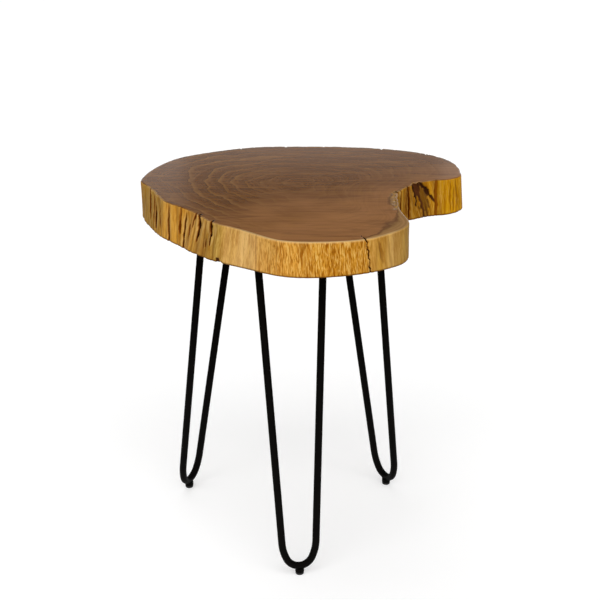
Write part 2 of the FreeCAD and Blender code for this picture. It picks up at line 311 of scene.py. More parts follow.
def end_grain():
    """Acacia cut across the trunk, sanded and satin varnished: brown heartwood with soft streaks and with
    wavy growth rings that show most at the left, a little paler sapwood behind a ragged dark line near
    the edge, and a soft sheen. The pale rim is partly a painted highlight, and the crack is painted dark
    inside as shade. The rings are drawn further apart than they are, so that they show."""
    material, tree = new_material("acacia_end_grain_satin_varnish")
    place = add(tree, "TexCoord").outputs["Object"]
    grain = add(tree, "Attribute", attribute_name="grain").outputs["Vector"]
    ring = add(tree, "SeparateXYZ", {0: grain}).outputs["Z"]
    spot = add(tree, "VectorMath", {0: place, 1: (0.5, -0.9, 0)}, operation="DOT_PRODUCT")
    sap = add(tree, "Attribute", attribute_name="sap_share").outputs["Fac"]
    pale_lip_and_highlight = add(tree, "Attribute", attribute_name="pale_lip_and_highlight").outputs["Fac"]
    chip = add(tree, "Attribute", attribute_name="chip").outputs["Fac"]
    hollow_shade = add(tree, "Attribute", attribute_name="hollow_shade").outputs["Fac"]
    wander = add(tree, "TexNoise", {"Vector": place, "Scale": per(80), "Detail": 3})
    ring_place = add(tree, "Math", {0: wander, 1: 16 * MM, 2: ring}, operation="MULTIPLY_ADD")
    year_place = add(tree, "Math", {0: ring_place, 1: per(4)}, operation="MULTIPLY")
    years = add(tree, "TexNoise", {"W": year_place, "Scale": 1, "Detail": 2}, noise_dimensions="1D")
    arc_place = add(tree, "VectorMath", {0: grain, 1: (per(45), per(45), per(3))},
                    operation="MULTIPLY")
    arcs = add(tree, "TexNoise", {"Vector": arc_place, "Scale": 1, "Detail": 4, "Distortion": 0.4})
    cloud = add(tree, "TexNoise", {"Vector": place, "Scale": per(110), "Detail": 4})
    drift = add(tree, "Math", {0: cloud, 1: 0.3, 2: spot.outputs["Value"]}, operation="MULTIPLY_ADD")

    across = add(tree, "MapRange", {0: drift, 1: 0.12, 2: 0.3})
    heart = add(tree, "MixRGB", {0: across, 1: linear("#673c07"), 2: linear("#936338")})
    pale_arc = add(tree, "MapRange", {0: arcs, 1: 0.5, 2: 0.74, 3: 0, 4: 0.1})
    heart = add(tree, "MixRGB", {0: pale_arc, 1: heart, 2: linear("#a8753a")})
    dark_arc = add(tree, "MapRange", {0: arcs, 1: 0.48, 2: 0.26, 3: 0, 4: 0.16})
    heart = add(tree, "MixRGB", {0: dark_arc, 1: heart, 2: linear("#4a2706")})
    year_share = add(tree, "MapRange", {0: years, 1: 0.5, 2: 0.75, 3: 0, 4: 0.09})
    heart = add(tree, "MixRGB", {0: year_share, 1: heart, 2: linear("#472a0d")})
    figure_place = add(tree, "VectorMath", {0: place, 1: (per(110), per(13), per(110))},
                       operation="MULTIPLY")
    figure = add(tree, "TexNoise", {"Vector": figure_place, "Scale": 1, "Detail": 6, "Roughness": 0.6,
                                    "Distortion": 1.2})
    pale_figure = add(tree, "MapRange", {0: figure, 1: 0.5, 2: 0.75, 3: 0, 4: 0.42})
    heart = add(tree, "MixRGB", {0: pale_figure, 1: heart, 2: linear("#9c6f36")})
    dark_figure = add(tree, "MapRange", {0: figure, 1: 0.5, 2: 0.25, 3: 0, 4: 0.55})
    heart = add(tree, "MixRGB", {0: dark_figure, 1: heart, 2: linear("#4a2a0a")})
    bend = add(tree, "TexNoise", {"Vector": place, "Scale": per(70), "Detail": 3})
    growth_place = add(tree, "Math", {0: bend, 1: 60 * MM, 2: ring}, operation="MULTIPLY_ADD")
    growth = add(tree, "Math", {0: growth_place, 1: per(26)}, operation="MULTIPLY")
    growth_share = add(tree, "Math", {0: growth}, operation="FRACT")
    sideways = add(tree, "SeparateXYZ", {0: place}).outputs["X"]
    left_share = add(tree, "MapRange", {0: sideways, 1: -215 * MM, 2: -165 * MM, 3: 0.3, 4: 1})
    left_share = add(tree, "MapRange", {0: sideways, 1: -140 * MM, 2: -50 * MM, 3: left_share, 4: 0.3})
    left_share = add(tree, "MapRange", {0: across, 1: 0.25, 2: 0.85, 3: left_share, 4: 0})
    band = add(tree, "MapRange", {0: growth_share, 1: 0, 2: 0.6, 3: 0.36, 4: 0})
    band = add(tree, "Math", {0: band, 1: left_share}, operation="MULTIPLY")
    heart = add(tree, "MixRGB", {0: band, 1: heart, 2: linear("#4c2c02")})
    line = add(tree, "MapRange", {0: growth_share, 1: 0.7, 2: 0.97, 3: 0, 4: 0.22})
    line = add(tree, "Math", {0: line, 1: left_share}, operation="MULTIPLY")
    heart = add(tree, "MixRGB", {0: line, 1: heart, 2: linear("#b98c4c")})

    ragged = add(tree, "TexNoise", {"Vector": place, "Scale": per(14), "Detail": 4})
    sap_place = add(tree, "Math", {0: ragged, 1: 0.9, 2: sap}, operation="MULTIPLY_ADD")
    in_heart = add(tree, "MapRange", {0: sap_place, 1: 1.1, 2: 1.5})
    sapwood = add(tree, "MixRGB", {0: arcs, 1: linear("#74502a"), 2: linear("#a87f4a")})
    wood = add(tree, "MixRGB", {0: in_heart, 1: sapwood, 2: heart})
    past_line = add(tree, "MapRange", {0: sap_place, 1: 1.45, 2: 1.8, 3: 0.7, 4: 0})
    on_line = add(tree, "Math", {0: in_heart, 1: past_line}, operation="MULTIPLY")
    wood = add(tree, "MixRGB", {0: on_line, 1: wood, 2: linear("#462b10")})
    # The pale rim: partly sanded pale wood, partly a painted highlight.
    wood = add(tree, "MixRGB", {0: pale_lip_and_highlight, 1: wood, 2: linear("#d9b67e")})
    wood = add(tree, "MixRGB", {0: chip, 1: wood, 2: linear("#ab7f38")})
    flakes = add(tree, "TexNoise", {"Vector": place, "Scale": per(4), "Detail": 3})
    flake_share = add(tree, "MapRange", {0: flakes, 1: 0.46, 2: 0.56})
    torn = add(tree, "Math", {0: chip, 1: flake_share}, operation="MULTIPLY")
    wood = add(tree, "MixRGB", {0: torn, 1: wood, 2: linear("#4a2d10")})
    # Painted shade inside the crack across the top.
    wood = add(tree, "MixRGB", {0: hollow_shade, 1: wood, 2: linear("#1d1007")})

    rough = add(tree, "MapRange", {0: arcs, 1: 0.3, 2: 0.7, 3: 0.16, 4: 0.22})
    bump = add(tree, "Bump", {"Height": arcs, "Strength": 0.2, "Distance": 0.08 * MM})
    surface = add(tree, "BsdfPrincipled", {
        "Base Color": wood, "Roughness": rough, "Normal": bump, "IOR": 1.4})
    add(tree, "OutputMaterial", {"Surface": surface})
    return material


def live_edge():
    """Acacia under its peeled bark, satin varnished: honey-coloured wood in long upright streaks and
    short dark hairs, with splits painted black inside as shade, and bark where the trunk folded. Shade is
    also painted into the furrows and along the lower rim, and highlights on the ridges beside splits and,
    partly, on the pale lip. The hairs are drawn coarser than they are, so that they show."""
    material, tree = new_material("acacia_live_edge_satin_varnish")
    grain = add(tree, "Attribute", attribute_name="grain").outputs["Vector"]
    shares = {}
    for name in ("tan", "olive", "gold", "umber", "hair", "pale_lip_and_highlight", "relief_shade", "ridge_highlight", "hollow_shade", "bark"):
        shares[name] = add(tree, "Attribute", attribute_name=name).outputs["Fac"]
    streak_place = add(tree, "VectorMath", {0: grain, 1: (per(5), per(5), per(90))},
                       operation="MULTIPLY")
    streak = add(tree, "TexNoise", {"Vector": streak_place, "Scale": 1, "Detail": 5, "Roughness": 0.6})
    broad_place = add(tree, "VectorMath", {0: grain, 1: (per(15), per(15), per(160))},
                      operation="MULTIPLY")
    broad = add(tree, "TexNoise", {"Vector": broad_place, "Scale": 1, "Detail": 3})
    hair_place = add(tree, "VectorMath", {0: grain, 1: (per(1.7), per(1.7), per(12))},
                     operation="MULTIPLY")
    hair = add(tree, "TexNoise", {"Vector": hair_place, "Scale": 1, "Detail": 3, "Distortion": 0.6})

    streak_share = add(tree, "MapRange", {0: streak, 1: 0.26, 2: 0.74})
    wood = add(tree, "MixRGB", {0: streak_share, 1: linear("#bd7410"), 2: linear("#ecab3c")})
    tan = add(tree, "MixRGB", {0: streak_share, 1: linear("#cf9b52"), 2: linear("#ecc27c")})
    olive = add(tree, "MixRGB", {0: streak_share, 1: linear("#8e6a26"), 2: linear("#cfaa58")})
    gold = add(tree, "MixRGB", {0: streak_share, 1: linear("#965000"), 2: linear("#e3ab14")})
    umber = add(tree, "MixRGB", {0: streak_share, 1: linear("#4a2600"), 2: linear("#9a6914")})
    for name, colour in (("tan", tan), ("olive", olive), ("gold", gold), ("umber", umber)):
        wood = add(tree, "MixRGB", {0: shares[name], 1: wood, 2: colour})
    broad_share = add(tree, "MapRange", {0: broad, 1: 0.52, 2: 0.72, 3: 0, 4: 0.5})
    wood = add(tree, "MixRGB", {0: broad_share, 1: wood, 2: linear("#864c00")})
    dark_hair = add(tree, "MapRange", {0: hair, 1: 0.5, 2: 0.64, 3: 0, 4: 0.85})
    dark_share = add(tree, "Math", {0: dark_hair, 1: shares["hair"]}, operation="MULTIPLY")
    wood = add(tree, "MixRGB", {0: dark_share, 1: wood, 2: linear("#8c4a00")})
    fair_hair = add(tree, "MapRange", {0: hair, 1: 0.48, 2: 0.34, 3: 0, 4: 0.7})
    fair_share = add(tree, "Math", {0: fair_hair, 1: shares["hair"]}, operation="MULTIPLY")
    wood = add(tree, "MixRGB", {0: fair_share, 1: wood, 2: linear("#f0c670")})
    # The pale lip: partly sanded pale wood, partly a painted highlight.
    wood = add(tree, "MixRGB", {0: shares["pale_lip_and_highlight"], 1: wood, 2: linear("#dab478")})
    # Painted highlight on the ridges beside splits.
    wood = add(tree, "MixRGB", {0: shares["ridge_highlight"], 1: wood, 2: linear("#ebc57c")})
    # Painted shade in the furrows and along the lower rim.
    wood = add(tree, "MixRGB", {0: shares["relief_shade"], 1: wood, 2: linear("#5a3000")})
    bark = add(tree, "MixRGB", {0: streak_share, 1: linear("#1c0d04"), 2: linear("#5a3116")})
    wood = add(tree, "MixRGB", {0: shares["bark"], 1: wood, 2: bark})
    # Painted shade inside splits and the crack: brown at the sides, near black in the core.
    shade = add(tree, "MapRange", {0: shares["hollow_shade"], 1: 0, 2: 0.5})
    wood = add(tree, "MixRGB", {0: shade, 1: wood, 2: linear("#703400")})
    split_core_shade = add(tree, "MapRange", {0: shares["hollow_shade"], 1: 0.4, 2: 0.9})
    wood = add(tree, "MixRGB", {0: split_core_shade, 1: wood, 2: linear("#200c00")})

    rough = add(tree, "MapRange", {0: hair, 1: 0.3, 2: 0.7, 3: 0.4, 4: 0.55})
    relief = add(tree, "Math", {0: streak, 1: hair}, operation="ADD")
    bump = add(tree, "Bump", {"Height": relief, "Strength": 0.6, "Distance": 0.6 * MM})
    surface = add(tree, "BsdfPrincipled", {
        "Base Color": wood, "Roughness": rough, "Normal": bump, "IOR": 1.4,
        "Specular IOR Level": 0.03})
    add(tree, "OutputMaterial", {"Surface": surface})
    return material


def sawn_underside():
    """The same wood left as the saw cut it: dry, dull, and marked across by the saw's teeth."""
    material, tree = new_material("acacia_end_grain_sawn")
    place = add(tree, "TexCoord").outputs["Object"]
    grain = add(tree, "Attribute", attribute_name="grain").outputs["Vector"]
    saw_place = add(tree, "VectorMath", {0: place, 1: (per(160), per(3.5), per(160))},
                    operation="MULTIPLY")
    saw = add(tree, "TexNoise", {"Vector": saw_place, "Scale": 1, "Detail": 3})
    arc_place = add(tree, "VectorMath", {0: grain, 1: (per(40), per(40), per(6))},
                    operation="MULTIPLY")
    arcs = add(tree, "TexNoise", {"Vector": arc_place, "Scale": 1, "Detail": 4})
    wood = add(tree, "MixRGB", {0: arcs, 1: linear("#85592c"), 2: linear("#b0865a")})
    saw_share = add(tree, "MapRange", {0: saw, 1: 0.45, 2: 0.7, 3: 0, 4: 0.5})
    wood = add(tree, "MixRGB", {0: saw_share, 1: wood, 2: linear("#6b4826")})
    bump = add(tree, "Bump", {"Height": saw, "Strength": 0.6, "Distance": 0.4 * MM})
    surface = add(tree, "BsdfPrincipled", {
        "Base Color": wood, "Roughness": 0.75, "Normal": bump, "Specular IOR Level": 0.3})
    add(tree, "OutputMaterial", {"Surface": surface})
    return material


def powder_coat():
    """Black polyester powder baked onto steel: satin, with a faint orange peel that breaks up
    highlights. The peel is drawn coarser than it is, so that it shows."""
    material, tree = new_material("black_powder_coat_satin")
    place = add(tree, "TexCoord").outputs["Object"]
    peel = add(tree, "TexNoise", {"Vector": place, "Scale": per(2.0), "Detail": 2})
    cloud = add(tree, "TexNoise", {"Vector": place, "Scale": per(35), "Detail": 3})
    coat = add(tree, "MixRGB", {0: cloud, 1: linear("#060505"), 2: linear("#0e0c0a")})
    rough = add(tree, "MapRange", {0: peel, 1: 0.3, 2: 0.7, 3: 0.38, 4: 0.48})
    bump = add(tree, "Bump", {"Height": peel, "Strength": 0.2, "Distance": 0.05 * MM})
    surface = add(tree, "BsdfPrincipled", {
        "Base Color": coat, "Roughness": rough, "Normal": bump, "IOR": 1.5,
        "Specular IOR Level": 0.03})
    add(tree, "OutputMaterial", {"Surface": surface})
    return material


def zinc_plate():
    """Bright zinc over steel: grey metal with a faint crystalline mottle and soft reflections."""
    material, tree = new_material("zinc_plated_steel")
    place = add(tree, "TexCoord").outputs["Object"]
    mottle = add(tree, "TexNoise", {"Vector": place, "Scale": per(1.5), "Detail": 4})
    metal = add(tree, "MixRGB", {0: mottle, 1: linear("#9a9ca0"), 2: linear("#c3c5c8")})
    rough = add(tree, "MapRange", {0: mottle, 1: 0.3, 2: 0.7, 3: 0.28, 4: 0.42})
    surface = add(tree, "BsdfPrincipled", {"Base Color": metal, "Metallic": 1, "Roughness": rough})
    add(tree, "OutputMaterial", {"Surface": surface})
    return material


def moulded_nylon():
    """Black nylon from a spark-eroded mould: dull, with an even grain that wear has rubbed paler. The
    grain is drawn coarser than it is, so that it shows."""
    material, tree = new_material("black_nylon_moulded")
    place = add(tree, "TexCoord").outputs["Object"]
    grain = add(tree, "TexNoise", {"Vector": place, "Scale": per(0.6), "Detail": 2})
    rub = add(tree, "TexNoise", {"Vector": place, "Scale": per(5), "Detail": 3})
    plastic = add(tree, "MixRGB", {0: rub, 1: linear("#0c0c0c"), 2: linear("#1a1918")})
    rough = add(tree, "MapRange", {0: rub, 1: 0.3, 2: 0.7, 3: 0.45, 4: 0.6})
    bump = add(tree, "Bump", {"Height": grain, "Strength": 0.3, "Distance": 0.05 * MM})
    surface = add(tree, "BsdfPrincipled", {
        "Base Color": plastic, "Roughness": rough, "Normal": bump, "IOR": 1.53,
        "Specular IOR Level": 0.3})
    add(tree, "OutputMaterial", {"Surface": surface})
    return material


def seen_ray(tree):
    """One for what the camera sees, also in reflections and through glass, and zero for other light."""
    path = add(tree, "LightPath")
    seen = add(tree, "Math", {0: path.outputs["Is Camera Ray"], 1: path.outputs["Is Glossy Ray"]},
               operation="MAXIMUM")
    return add(tree, "Math", {0: seen, 1: path.outputs["Is Transmission Ray"]}, operation="MAXIMUM")


def studio_floor():
    """White paper sweep that stays white to the camera and in reflections, and takes the shadow."""
    material, tree = new_material("white_paper_sweep")
    lift = add(tree, "Math", {0: seen_ray(tree), 1: FLOOR_LIFT}, operation="MULTIPLY")
    paper = add(tree, "BsdfDiffuse", {"Color": linear("#c8c8c8")})
    glow = add(tree, "Emission", {"Color": linear("#ffffff"), "Strength": lift})
    both = add(tree, "AddShader", {0: paper, 1: glow})
    add(tree, "OutputMaterial", {"Surface": both})
    return material


# Meshes

def piece(name, points, faces, materials, attributes=None, face_materials=None):
    """Smooth mesh object from points in millimetres, with values at each point."""
    mesh = bpy.data.meshes.new(name)
    mesh.from_pydata((np.asarray(points) * MM).tolist(), [], faces)
    for material in materials:
        mesh.materials.append(material)
    if face_materials is not None:
        mesh.polygons.foreach_set("material_index", face_materials)
    for attribute, values in (attributes or {}).items():
        values = np.asarray(values, np.float32)
        kind, key = ("FLOAT", "value") if values.ndim == 1 else ("FLOAT_VECTOR", "vector")
        mesh.attributes.new(attribute, kind, "POINT").data.foreach_set(key, values.ravel())
    mesh.polygons.foreach_set("use_smooth", [True] * len(mesh.polygons))
    mesh.validate()
    mesh.update()
    made = bpy.data.objects.new(name, mesh)
    bpy.context.scene.collection.objects.link(made)
    return made


def band_faces(rows, columns):
    """Quads between rows of points that each close on themselves."""
    faces = []
    for row in range(rows - 1):
        base = row * columns
        for column in range(columns):
            beside = (column + 1) % columns
            faces.append((base + column, base + beside, base + columns + beside,
                          base + columns + column))
    return faces


def smoothstep(values):
    share = np.clip(values, 0, 1)
    return share * share * (3 - 2 * share)


# Slab

def wall_loop(height):
    """Plan points of the CAD slab's wall at one height, anticlockwise from the left end."""
    level = height * MM
    points = set()
    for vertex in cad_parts[SLAB].data.vertices:
        if math.isclose(vertex.co.z, level, abs_tol=LEVEL_TOLERANCE * MM):
            points.add((round(vertex.co.x / MM, 3), round(vertex.co.y / MM, 3)))
    return np.array(sorted(points, key=lambda p: math.atan2(p[1] - PITH[1], p[0] - PITH[0])))


def loop_steps(points):
    return np.linalg.norm(np.roll(points, -1, 0) - points, axis=1)


def along_loop(points, places):
    """Smooth closed curve through plan points, read at distances along it."""
    steps = loop_steps(points)
    starts = np.concatenate([[0], np.cumsum(steps)])
    slopes = (np.roll(points, -1, 0) - np.roll(points, 1, 0)) / (steps + np.roll(steps, 1))[:, None]
    places = np.mod(places, starts[-1])
    near = np.clip(np.searchsorted(starts, places, side="right") - 1, 0, len(points) - 1)
    far = (near + 1) % len(points)
    run = steps[near][:, None]
    share = ((places - starts[near]) / steps[near])[:, None]
    return (points[near] * (1 + 2 * share) * (1 - share) ** 2
            + slopes[near] * run * share * (1 - share) ** 2
            + points[far] * share ** 2 * (3 - 2 * share)
            + slopes[far] * run * share ** 2 * (share - 1))


def column_places(length):
    """Distances round the edge, closer together where it is split, cracked or chipped."""
    fine = [(min(split[0], split[2]), max(split[0], split[2])) for split in FISSURES + BARK]
    fine += [(min(CRACK_ROUNDS), max(CRACK_ROUNDS)), CHIPS_ROUND]
    places = [0.0]
    while places[-1] < length - COLUMN_STEP:
        here = places[-1]
        close = any(low - FINE_REACH < here < high + FINE_REACH for low, high in fine)
        places.append(here + (FINE_STEP if close else COLUMN_STEP))
    return np.array(places)


def edge_rows():
    """Heights of the rows of points up the edge, and how far in the eased rims bring each one."""
    rim = np.linspace(0, math.pi / 2, RIM_ROWS + 1)
    ease = RIM_EASE * (1 - np.cos(rim))
    rise = RIM_EASE * (1 - np.sin(rim))
    wall = np.linspace(RIM_EASE, THICKNESS - RIM_EASE, int((THICKNESS - 2 * RIM_EASE) / WALL_STEP) + 1)
    heights = np.concatenate([rise[:0:-1], wall, THICKNESS - rise[1:]])
    insets = np.concatenate([ease[:0:-1], np.zeros(len(wall)), ease[1:]])
    return heights, insets


def plan_tree(points):
    tree = kdtree.KDTree(len(points))
    for order, (x, y) in enumerate(points):
        tree.insert((x, y, 0), order)
    tree.balance()
    return tree


def split_depths(splits, rounds, heights, raggedness):
    """How deep a set of splits goes at each height and column, how dark it is there, as painted shade in
    splits or as the bark's own colour, and how pale the ridges beside it are, as a painted highlight."""
    depths = np.zeros((len(heights), len(rounds)))
    darks = np.zeros_like(depths)
    ridge_highlights = np.zeros_like(depths)
    for order, (top_round, top, low_round, low, half_width, depth, dark) in enumerate(splits):
        share = (top - heights) / (top - low)
        inside = (share > 0) & (share < 1)
        taper = np.where(inside, np.sin(np.pi * np.clip(share, 0, 1)) ** SPLIT_TAPER, 0)
        sway = 0.7 * np.sin(heights / 6.5 + order * 1.7) + 0.35 * np.sin(heights / 2.3 + order)
        middle = top_round + (low_round - top_round) * share + sway * min(1, half_width / 3)
        half = half_width * (0.35 + 0.65 * taper)
        across = (rounds[None, :] - middle[:, None]) / half[:, None]
        for row in np.flatnonzero(inside):
            for column in np.flatnonzero(np.abs(across[row]) < 2):
                spot = Vector((rounds[column] / RAGGED_WIDTH, heights[row] / RAGGED_HEIGHT, order))
                across[row, column] += raggedness * noise.noise(spot)
        cut = np.clip(1 - across ** 2, 0, 1) * taper[:, None]
        depths = np.maximum(depths, cut * depth)
        # How dark the inside is: painted shade for splits, the bark's own colour for bark.
        darks = np.maximum(darks, smoothstep(cut * 1.6) * dark)
        # Painted highlight on the ridges beside the split.
        beside = np.clip(1 - ((np.abs(across - 0.4) - 1.9) / 0.9) ** 2, 0, 1)
        ridge_highlights = np.maximum(ridge_highlights, beside * taper[:, None] * dark * min(1, depth / 6))
    return depths, darks, ridge_highlights * (1 - darks)


def crack_cut(rounds, heights):
    """Where the long crack is on the edge, from 0 to 1."""
    sway = 0.9 * np.sin(heights / 2.6) + 0.6 * np.sin(heights / 1.17 + 1)
    middle = np.interp(heights, CRACK_HEIGHTS, CRACK_ROUNDS) + sway
    half = CRACK_HALF_WIDTH * (0.8 + 0.3 * np.sin(heights / 4.1))
    across = (rounds[None, :] - middle[:, None]) / half[:, None]
    return np.clip(1 - across ** 2, 0, 1)


def flutes(grain, depths):
    """Upright furrows between rounded ribs, on slower swells: how deep, and how far down a furrow."""
    furrows = np.empty(grain.shape[:2])
    swells = np.empty_like(furrows)
    for place in np.ndindex(furrows.shape):
        x, y, height = grain[place]
        rib = noise.noise(Vector((x / FLUTE_WIDTH, y / FLUTE_WIDTH, height / FLUTE_LENGTH)))
        swell = noise.noise(Vector((x / SWELL_WIDTH, y / SWELL_WIDTH, height / SWELL_LENGTH)))
        furrows[place] = max(0, 1 - FURROW_SHARPNESS * abs(rib)) ** 2
        swells[place] = min(1, max(0, 0.5 + swell))
    fluted = depths * (FLUTE_SHARE * furrows + SWELL_SHARE * swells)
    return fluted, furrows * np.clip(depths / FULL_FURROW, 0, 1)


def make_slab():
    """The slice of trunk as one mesh: rows of points from the middle of the underside out to its rim, up
    the edge, and in over the top to the middle."""
    upper = wall_loop(SLAB_HIGH[2] - RIM_EASE)
    lower = wall_loop(SLAB_LOW[2] + RIM_EASE)
    length = loop_steps(upper).sum()
    rounds = column_places(length)
    columns = len(rounds)
    plan = along_loop(upper, rounds + EDGE_START)
    along = along_loop(upper, rounds + EDGE_START + 1) - along_loop(upper, rounds + EDGE_START - 1)
    outward = np.column_stack([along[:, 1], -along[:, 0]]) / np.linalg.norm(along, axis=1)[:, None]
    zone = {name: np.interp(rounds, EDGE_ZONES[:, 0], EDGE_ZONES[:, order], period=length)
            for order, name in enumerate(ZONE_NAMES, 1)}

    # How far the edge flares out from the top to the underside
    lower_points = along_loop(lower, np.arange(0, loop_steps(lower).sum(), FINE_STEP))
    lower_tree = plan_tree(lower_points)
    nearest = [lower_points[lower_tree.find((x, y, 0))[1]] for x, y in plan]
    flares = ((nearest - plan) * outward).sum(1)

    # The edge. Its grain is measured along the fibres, which lean.
    heights, insets = edge_rows()
    turns = rounds[None, :] + zone["slant"][None, :] * (heights[:, None] - THICKNESS / 2)
    turns *= 2 * math.pi / length
    round_radius = length / (2 * math.pi)
    edge_grain = np.stack([round_radius * np.cos(turns), round_radius * np.sin(turns),
                           np.repeat(heights[:, None], columns, 1)], 2)
    # The second value is where the furrows get painted shade.
    fluted, relief_shade = flutes(edge_grain, zone["flutes"][None, :])
    split, split_shade, ridge_highlight = split_depths(FISSURES, rounds, heights, SPLIT_RAGGEDNESS)
    bark, bark_dark, _ = split_depths(BARK, rounds, heights, BARK_RAGGEDNESS)
    crack = crack_cut(rounds, heights)
    cuts = np.maximum(np.maximum(split, bark), crack * CRACK_DEPTH)
    low_share = np.clip((THICKNESS - RIM_EASE - heights) / (THICKNESS - 2 * RIM_EASE), 0, 1)
    push = flares[None, :] * low_share[:, None] - fluted - cuts - insets[:, None]
    edge = np.empty((len(heights), columns, 3))
    edge[:, :, :2] = plan + outward * push[:, :, None]
    edge[:, :, 2] = SLAB_LOW[2] + heights[:, None]

    # The flat faces, in rings that leave each rim square to it and turn towards the pith
    def rings(rim, ring_insets):
        full = np.linalg.norm(plan - PITH, axis=1)[:, None]
        spokes = (PITH - plan) / full
        rim_plan = rim[:, :2]
        eased = plan - outward * RIM_EASE
        flat = []
        for inset in ring_insets:
            square = SQUARE_REACH * (1 - math.exp(-inset / SQUARE_REACH))
            settle = 1 - smoothstep(inset / SETTLE_REACH)
            flat.append(eased - outward * square + spokes * (inset - square)
                        + (rim_plan - eased) * settle)
        flat += [PITH + (flat[-1] - PITH) * share for share in INNER_SHARES]
        flat = np.array(flat)
        reach = np.linalg.norm(flat - PITH, axis=2)[:, :, None]
        ring_mm = PITH_RADIUS * reach / full
        turned = (flat - PITH) / reach * np.minimum(ring_mm, PITH_RADIUS / 3)
        levels = np.full_like(reach, rim[0, 2])
        return np.concatenate([flat, levels], 2), np.concatenate([turned, ring_mm], 2)

    top, top_grain = rings(edge[-1], TOP_INSETS)
    underside, underside_grain = rings(edge[0], UNDERSIDE_INSETS)

    # The sapwood, the crack and the chips on the top
    edge_tree = plan_tree(plan)
    found = [edge_tree.find((x, y, 0)) for x, y, _ in top.reshape(-1, 3)]
    near = np.array([place[1] for place in found]).reshape(top.shape[:2])
    inward = np.array([place[2] for place in found]).reshape(top.shape[:2]) - RIM_EASE
    sap_reach = np.maximum(np.interp(rounds, SAPWOOD[:, 0], SAPWOOD[:, 1], period=length), 0.3)
    sap_share = (1 + inward) / sap_reach[near]
    fade = np.clip(1 - inward / CRACK_TOP_LENGTH, 0, 1)
    sway = 0.9 * np.sin(inward / 2.4) + 0.5 * np.sin(inward / 1.1)
    across = (rounds[None, :] - CRACK_ROUNDS[-1] - sway) / (CRACK_HALF_WIDTH * (0.35 + fade))
    groove = np.clip(1 - across ** 2, 0, 1) * (fade > 0)
    flake = np.array([noise.noise(Vector((x / CHIP_SIZE, y / CHIP_SIZE, 3)))
                      for x, y, _ in top.reshape(-1, 3)]).reshape(top.shape[:2])
    chip = smoothstep((flake + 0.25) * 3) * np.clip(1 - inward / CHIPS_REACH, 0, 1)
    chip *= (rounds > CHIPS_ROUND[0]) & (rounds < CHIPS_ROUND[1])
    top[:, :, 2] -= groove * CRACK_TOP_DEPTH * fade + chip * CHIP_DEPTH

    # One grid of rows, closed by a fan at each pith
    grid = np.concatenate([underside[::-1], edge, top])
    edge_start = len(underside)
    top_start = edge_start + len(edge)
    rows = len(grid)
    ends = [[*PITH, SLAB_LOW[2]], [*PITH, SLAB_HIGH[2]]]
    points = np.concatenate([grid.reshape(-1, 3), ends])
    faces = band_faces(rows, columns)
    row_materials = np.full(rows - 1, 1)
    row_materials[:edge_start] = 2
    row_materials[edge_start:top_start - 1 - RIM_ROWS // 2] = 0
    face_materials = np.concatenate([np.repeat(row_materials, columns), np.full(columns, 2),
                                     np.full(columns, 1)])
    last = (rows - 1) * columns
    beside = np.roll(np.arange(columns), -1)
    faces += [(beside[column], column, rows * columns) for column in range(columns)]
    faces += [(last + column, last + beside[column], rows * columns + 1) for column in range(columns)]

    # Values at the points
    def value(on_edge=0.0, on_top=0.0):
        values = np.zeros((rows, columns))
        values[edge_start:top_start] = on_edge
        values[top_start:] = on_top
        return np.concatenate([values.ravel(), [0, values[-1].mean()]])

    # The lip's pale colour, partly a painted highlight, and the painted shade along the lower rim.
    lip_up = smoothstep((heights - THICKNESS + LIP_HEIGHT) / LIP_FADE)[:, None]
    lip_in = 1 - smoothstep(inward / LIP_REACH)
    rim_low = RIM_SHADE * (1 - smoothstep((heights - RIM_SHADE_START) / RIM_SHADE_FADE))[:, None]
    attributes = {name: value(zone[name]) for name in ("tan", "olive", "gold", "umber", "hair")}
    # Painted shade in furrows and along the lower rim.
    attributes["relief_shade"] = value(np.maximum(FURROW_SHADE * relief_shade, rim_low))
    # Painted highlight beside splits.
    attributes["ridge_highlight"] = value(RIDGE_HIGHLIGHT_SHARE * ridge_highlight)
    attributes["bark"] = value(smoothstep(bark_dark * 1.8))
    # Painted shade inside splits and the crack.
    attributes["hollow_shade"] = value(np.maximum(split_shade, smoothstep(crack * 2)), smoothstep(groove * 2))
    attributes["pale_lip_and_highlight"] = value(zone["pale_lip_and_highlight"] * lip_up, zone["pale_lip_and_highlight"][near] * lip_in)
    attributes["sap_share"] = value(1 / sap_reach, sap_share)
    attributes["chip"] = value(0, np.sqrt(chip))
    grains = np.concatenate([underside_grain[::-1], edge_grain, top_grain]).reshape(-1, 3)
    attributes["grain"] = np.concatenate([grains, np.zeros((2, 3))]) * MM

    made = piece("trunk_slice", points, faces, [live_edge(), end_grain(), sawn_underside()],
                 attributes, face_materials)
    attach(made, "table")
    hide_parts(SLAB)


# Legs

def leg_frame(leg):
    """Bottom of the bend, directions across the leg and up its lean, and the level of its top ends."""
    boss_low, boss_high = (np.array(corner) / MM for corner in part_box(leg + "_foot_boss"))
    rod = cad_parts[leg + "_hairpin_rod"].data
    rod_points = np.array([vertex.co for vertex in rod.vertices]) / MM
    level = rod_points[:, 2].max()
    ends = rod_points[rod_points[:, 2] > level - LEVEL_TOLERANCE]
    foot = (boss_low + boss_high)[:2] / 2
    middle = rod_points[rod_points[:, 2] < ROD_RADIUS + boss_high[2]]
    bend = np.array([foot[0], foot[1], middle[:, 2].min() + ROD_RADIUS])
    spread = ends[:, :2] - ends[:, :2].mean(0)
    across = np.linalg.svd(spread, full_matrices=False)[2][0]
    across = np.array([across[0], across[1], 0])
    top = np.array([*((ends.min(0) + ends.max(0)) / 2)[:2], level])
    rise = top - bend
    rise -= across * (rise @ across)
    return bend, across, rise / np.linalg.norm(rise), level


def bend_angles(start, stop):
    return np.linspace(start, stop, int((stop - start) / BEND_STEP) + 2)


